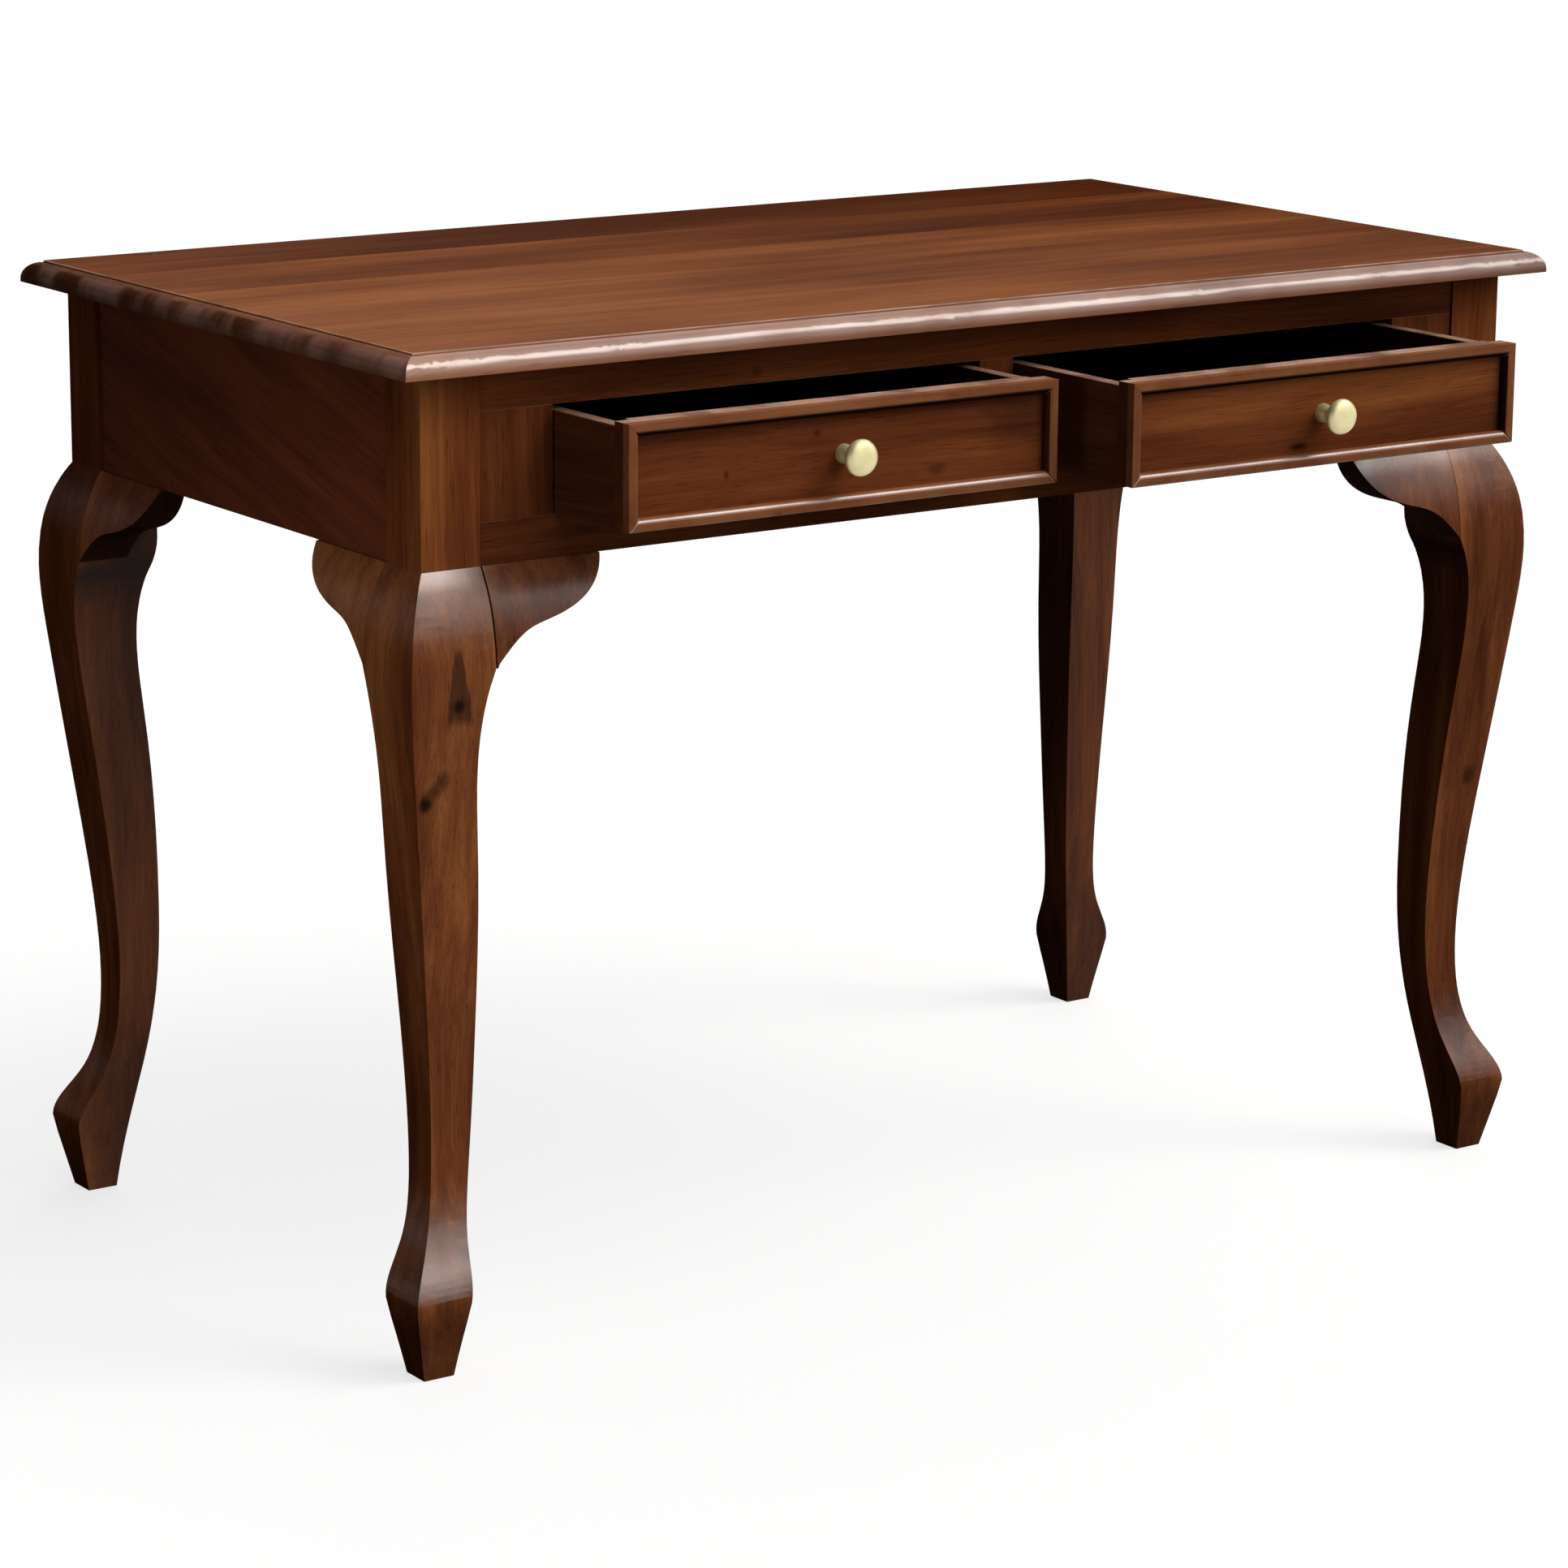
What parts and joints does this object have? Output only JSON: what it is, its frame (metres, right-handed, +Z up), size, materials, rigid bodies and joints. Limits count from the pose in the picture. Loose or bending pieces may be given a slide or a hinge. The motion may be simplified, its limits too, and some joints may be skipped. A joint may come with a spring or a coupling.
{
  "type": "writing desk",
  "caption": "Wooden writing desk: a moulded board top over side-by-side drawers with brass mushroom knobs, on square-cut cabriole legs with knee blocks.",
  "frame": {"origin": "on the floor, under the middle of the top", "axes": "+X to the right along the drawer front, +Y from front to back, +Z up"},
  "size_m": [1.1, 0.751, 0.78],
  "materials": {
    "mahogany": "dark red-brown stain, satin lacquer",
    "mahogany_top": "red-brown stain, satin lacquer",
    "drawer_lining": "dark stain, matt",
    "carcass_wood": "bare sawn wood",
    "brass": "aged satin brass",
    "steel": "plain"
  },
  "bodies": {
    "desk_frame": {"apron_back": "mahogany", "apron_left": "mahogany", "apron_right": "mahogany", "drawer_stops": "carcass_wood", "guide_left": "carcass_wood", "guide_middle": "carcass_wood", "guide_right": "carcass_wood", "kicker_left": "carcass_wood", "kicker_middle": "carcass_wood", "kicker_right": "carcass_wood", "knee_block_back_left_side": "mahogany", "knee_block_back_right_side": "mahogany", "knee_block_front_left_front": "mahogany", "knee_block_front_left_side": "mahogany", "knee_block_front_right_front": "mahogany", "knee_block_front_right_side": "mahogany", "leg_back_left": "mahogany", "leg_back_right": "mahogany", "leg_front_left": "mahogany", "leg_front_right": "mahogany", "muntin": "mahogany", "rail_lower": "mahogany", "rail_upper": "mahogany", "runner_left": "carcass_wood", "runner_middle": "carcass_wood", "runner_right": "carcass_wood", "stile_left": "mahogany", "stile_right": "mahogany", "top_board_1": "mahogany_top", "top_board_2": "mahogany_top", "top_board_3": "mahogany_top", "top_board_4": "mahogany_top", "top_board_5": "mahogany_top", "top_buttons": "carcass_wood", "top_screws": "steel"},
    "drawer_left": {"drawer_left_back": "drawer_lining", "drawer_left_bead_left": "mahogany", "drawer_left_bead_lower": "mahogany", "drawer_left_bead_right": "mahogany", "drawer_left_bead_upper": "mahogany", "drawer_left_bottom": "drawer_lining", "drawer_left_front": "mahogany", "drawer_left_knob": "brass", "drawer_left_knob_screw": "steel", "drawer_left_side_left": "drawer_lining", "drawer_left_side_right": "drawer_lining"},
    "drawer_right": {"drawer_right_back": "drawer_lining", "drawer_right_bead_left": "mahogany", "drawer_right_bead_lower": "mahogany", "drawer_right_bead_right": "mahogany", "drawer_right_bead_upper": "mahogany", "drawer_right_bottom": "drawer_lining", "drawer_right_front": "mahogany", "drawer_right_knob": "brass", "drawer_right_knob_screw": "steel", "drawer_right_side_left": "drawer_lining", "drawer_right_side_right": "drawer_lining"}
  },
  "joints": [
    {"name": "drawer_left_slide", "type": "slide", "parent": "desk_frame", "child": "drawer_left", "axis": [0, -1, 0], "range_m": [-0.098, 0.242]},
    {"name": "drawer_right_slide", "type": "slide", "parent": "desk_frame", "child": "drawer_right", "axis": [0, -1, 0], "range_m": [-0.147, 0.193]}
  ]
}
